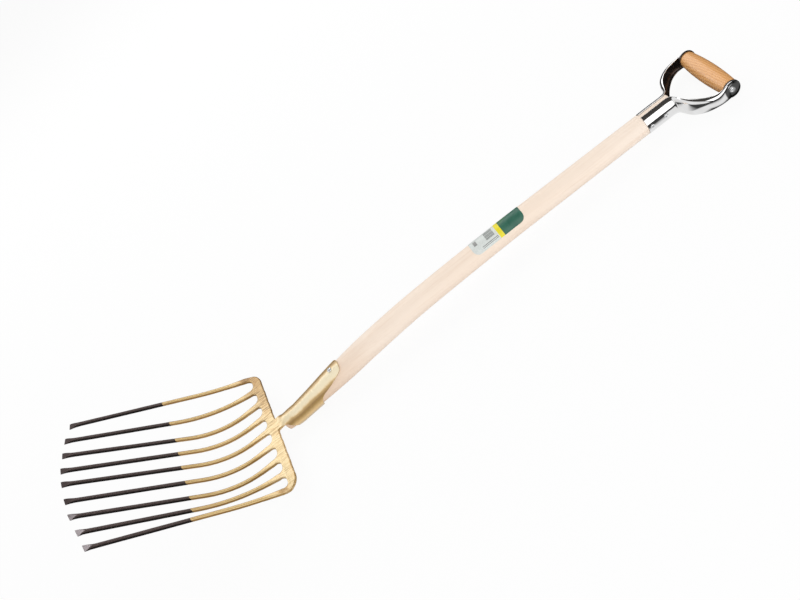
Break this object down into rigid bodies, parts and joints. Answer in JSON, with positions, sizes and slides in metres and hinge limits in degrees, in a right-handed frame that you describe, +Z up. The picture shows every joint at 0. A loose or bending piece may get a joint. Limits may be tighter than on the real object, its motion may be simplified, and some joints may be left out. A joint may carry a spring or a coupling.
{
  "type": "rubble fork",
  "caption": "Hand fork for stone and rubble: close curved tines on a cross plate, open rolled socket with a front tongue, bent wooden shaft, pressed metal yoke and turned cross grip.",
  "frame": {"origin": "bottom centre of the bounding box, with the fork lying on its back on the plane Z = 0", "axes": "+X along the tool from the tine tips to the grip, +Y across the head, +Z up out of the hollow side of the head"},
  "size_m": [1.2282, 0.2948, 0.2221],
  "materials": {
    "gold_lacquer": "gold tinted lacquer over brushed forged steel",
    "tine_steel": "dark tempered steel below, gold lacquer above",
    "ash_wood": "pale ash, sanded",
    "chrome_plate": "bright plated pressed steel",
    "bright_zinc": "bright zinc",
    "lacquered_grip": "orange tan lacquered wood",
    "label_paper": "plain coloured bands, no lettering"
  },
  "bodies": {
    "fork": {"cross_plate": "gold_lacquer", "tine_1": "tine_steel", "tine_2": "tine_steel", "tine_3": "tine_steel", "tine_4": "tine_steel", "tine_5": "tine_steel", "tine_6": "tine_steel", "tine_7": "tine_steel", "tine_8": "tine_steel", "tine_9": "tine_steel", "neck_socket": "gold_lacquer", "socket_screw": "bright_zinc", "shaft": "ash_wood", "yoke_left": "chrome_plate", "yoke_right": "chrome_plate", "yoke_rivet_lower": "bright_zinc", "yoke_rivet_upper": "bright_zinc", "grip_rod": "bright_zinc", "label": "label_paper"},
    "grip": {"grip": "lacquered_grip"}
  },
  "joints": [
    {"name": "grip_turn", "type": "hinge", "parent": "fork", "child": "grip", "pos_m": [0.59712, 0, 0.01698], "axis": [0, 1, 0], "continuous": true}
  ]
}
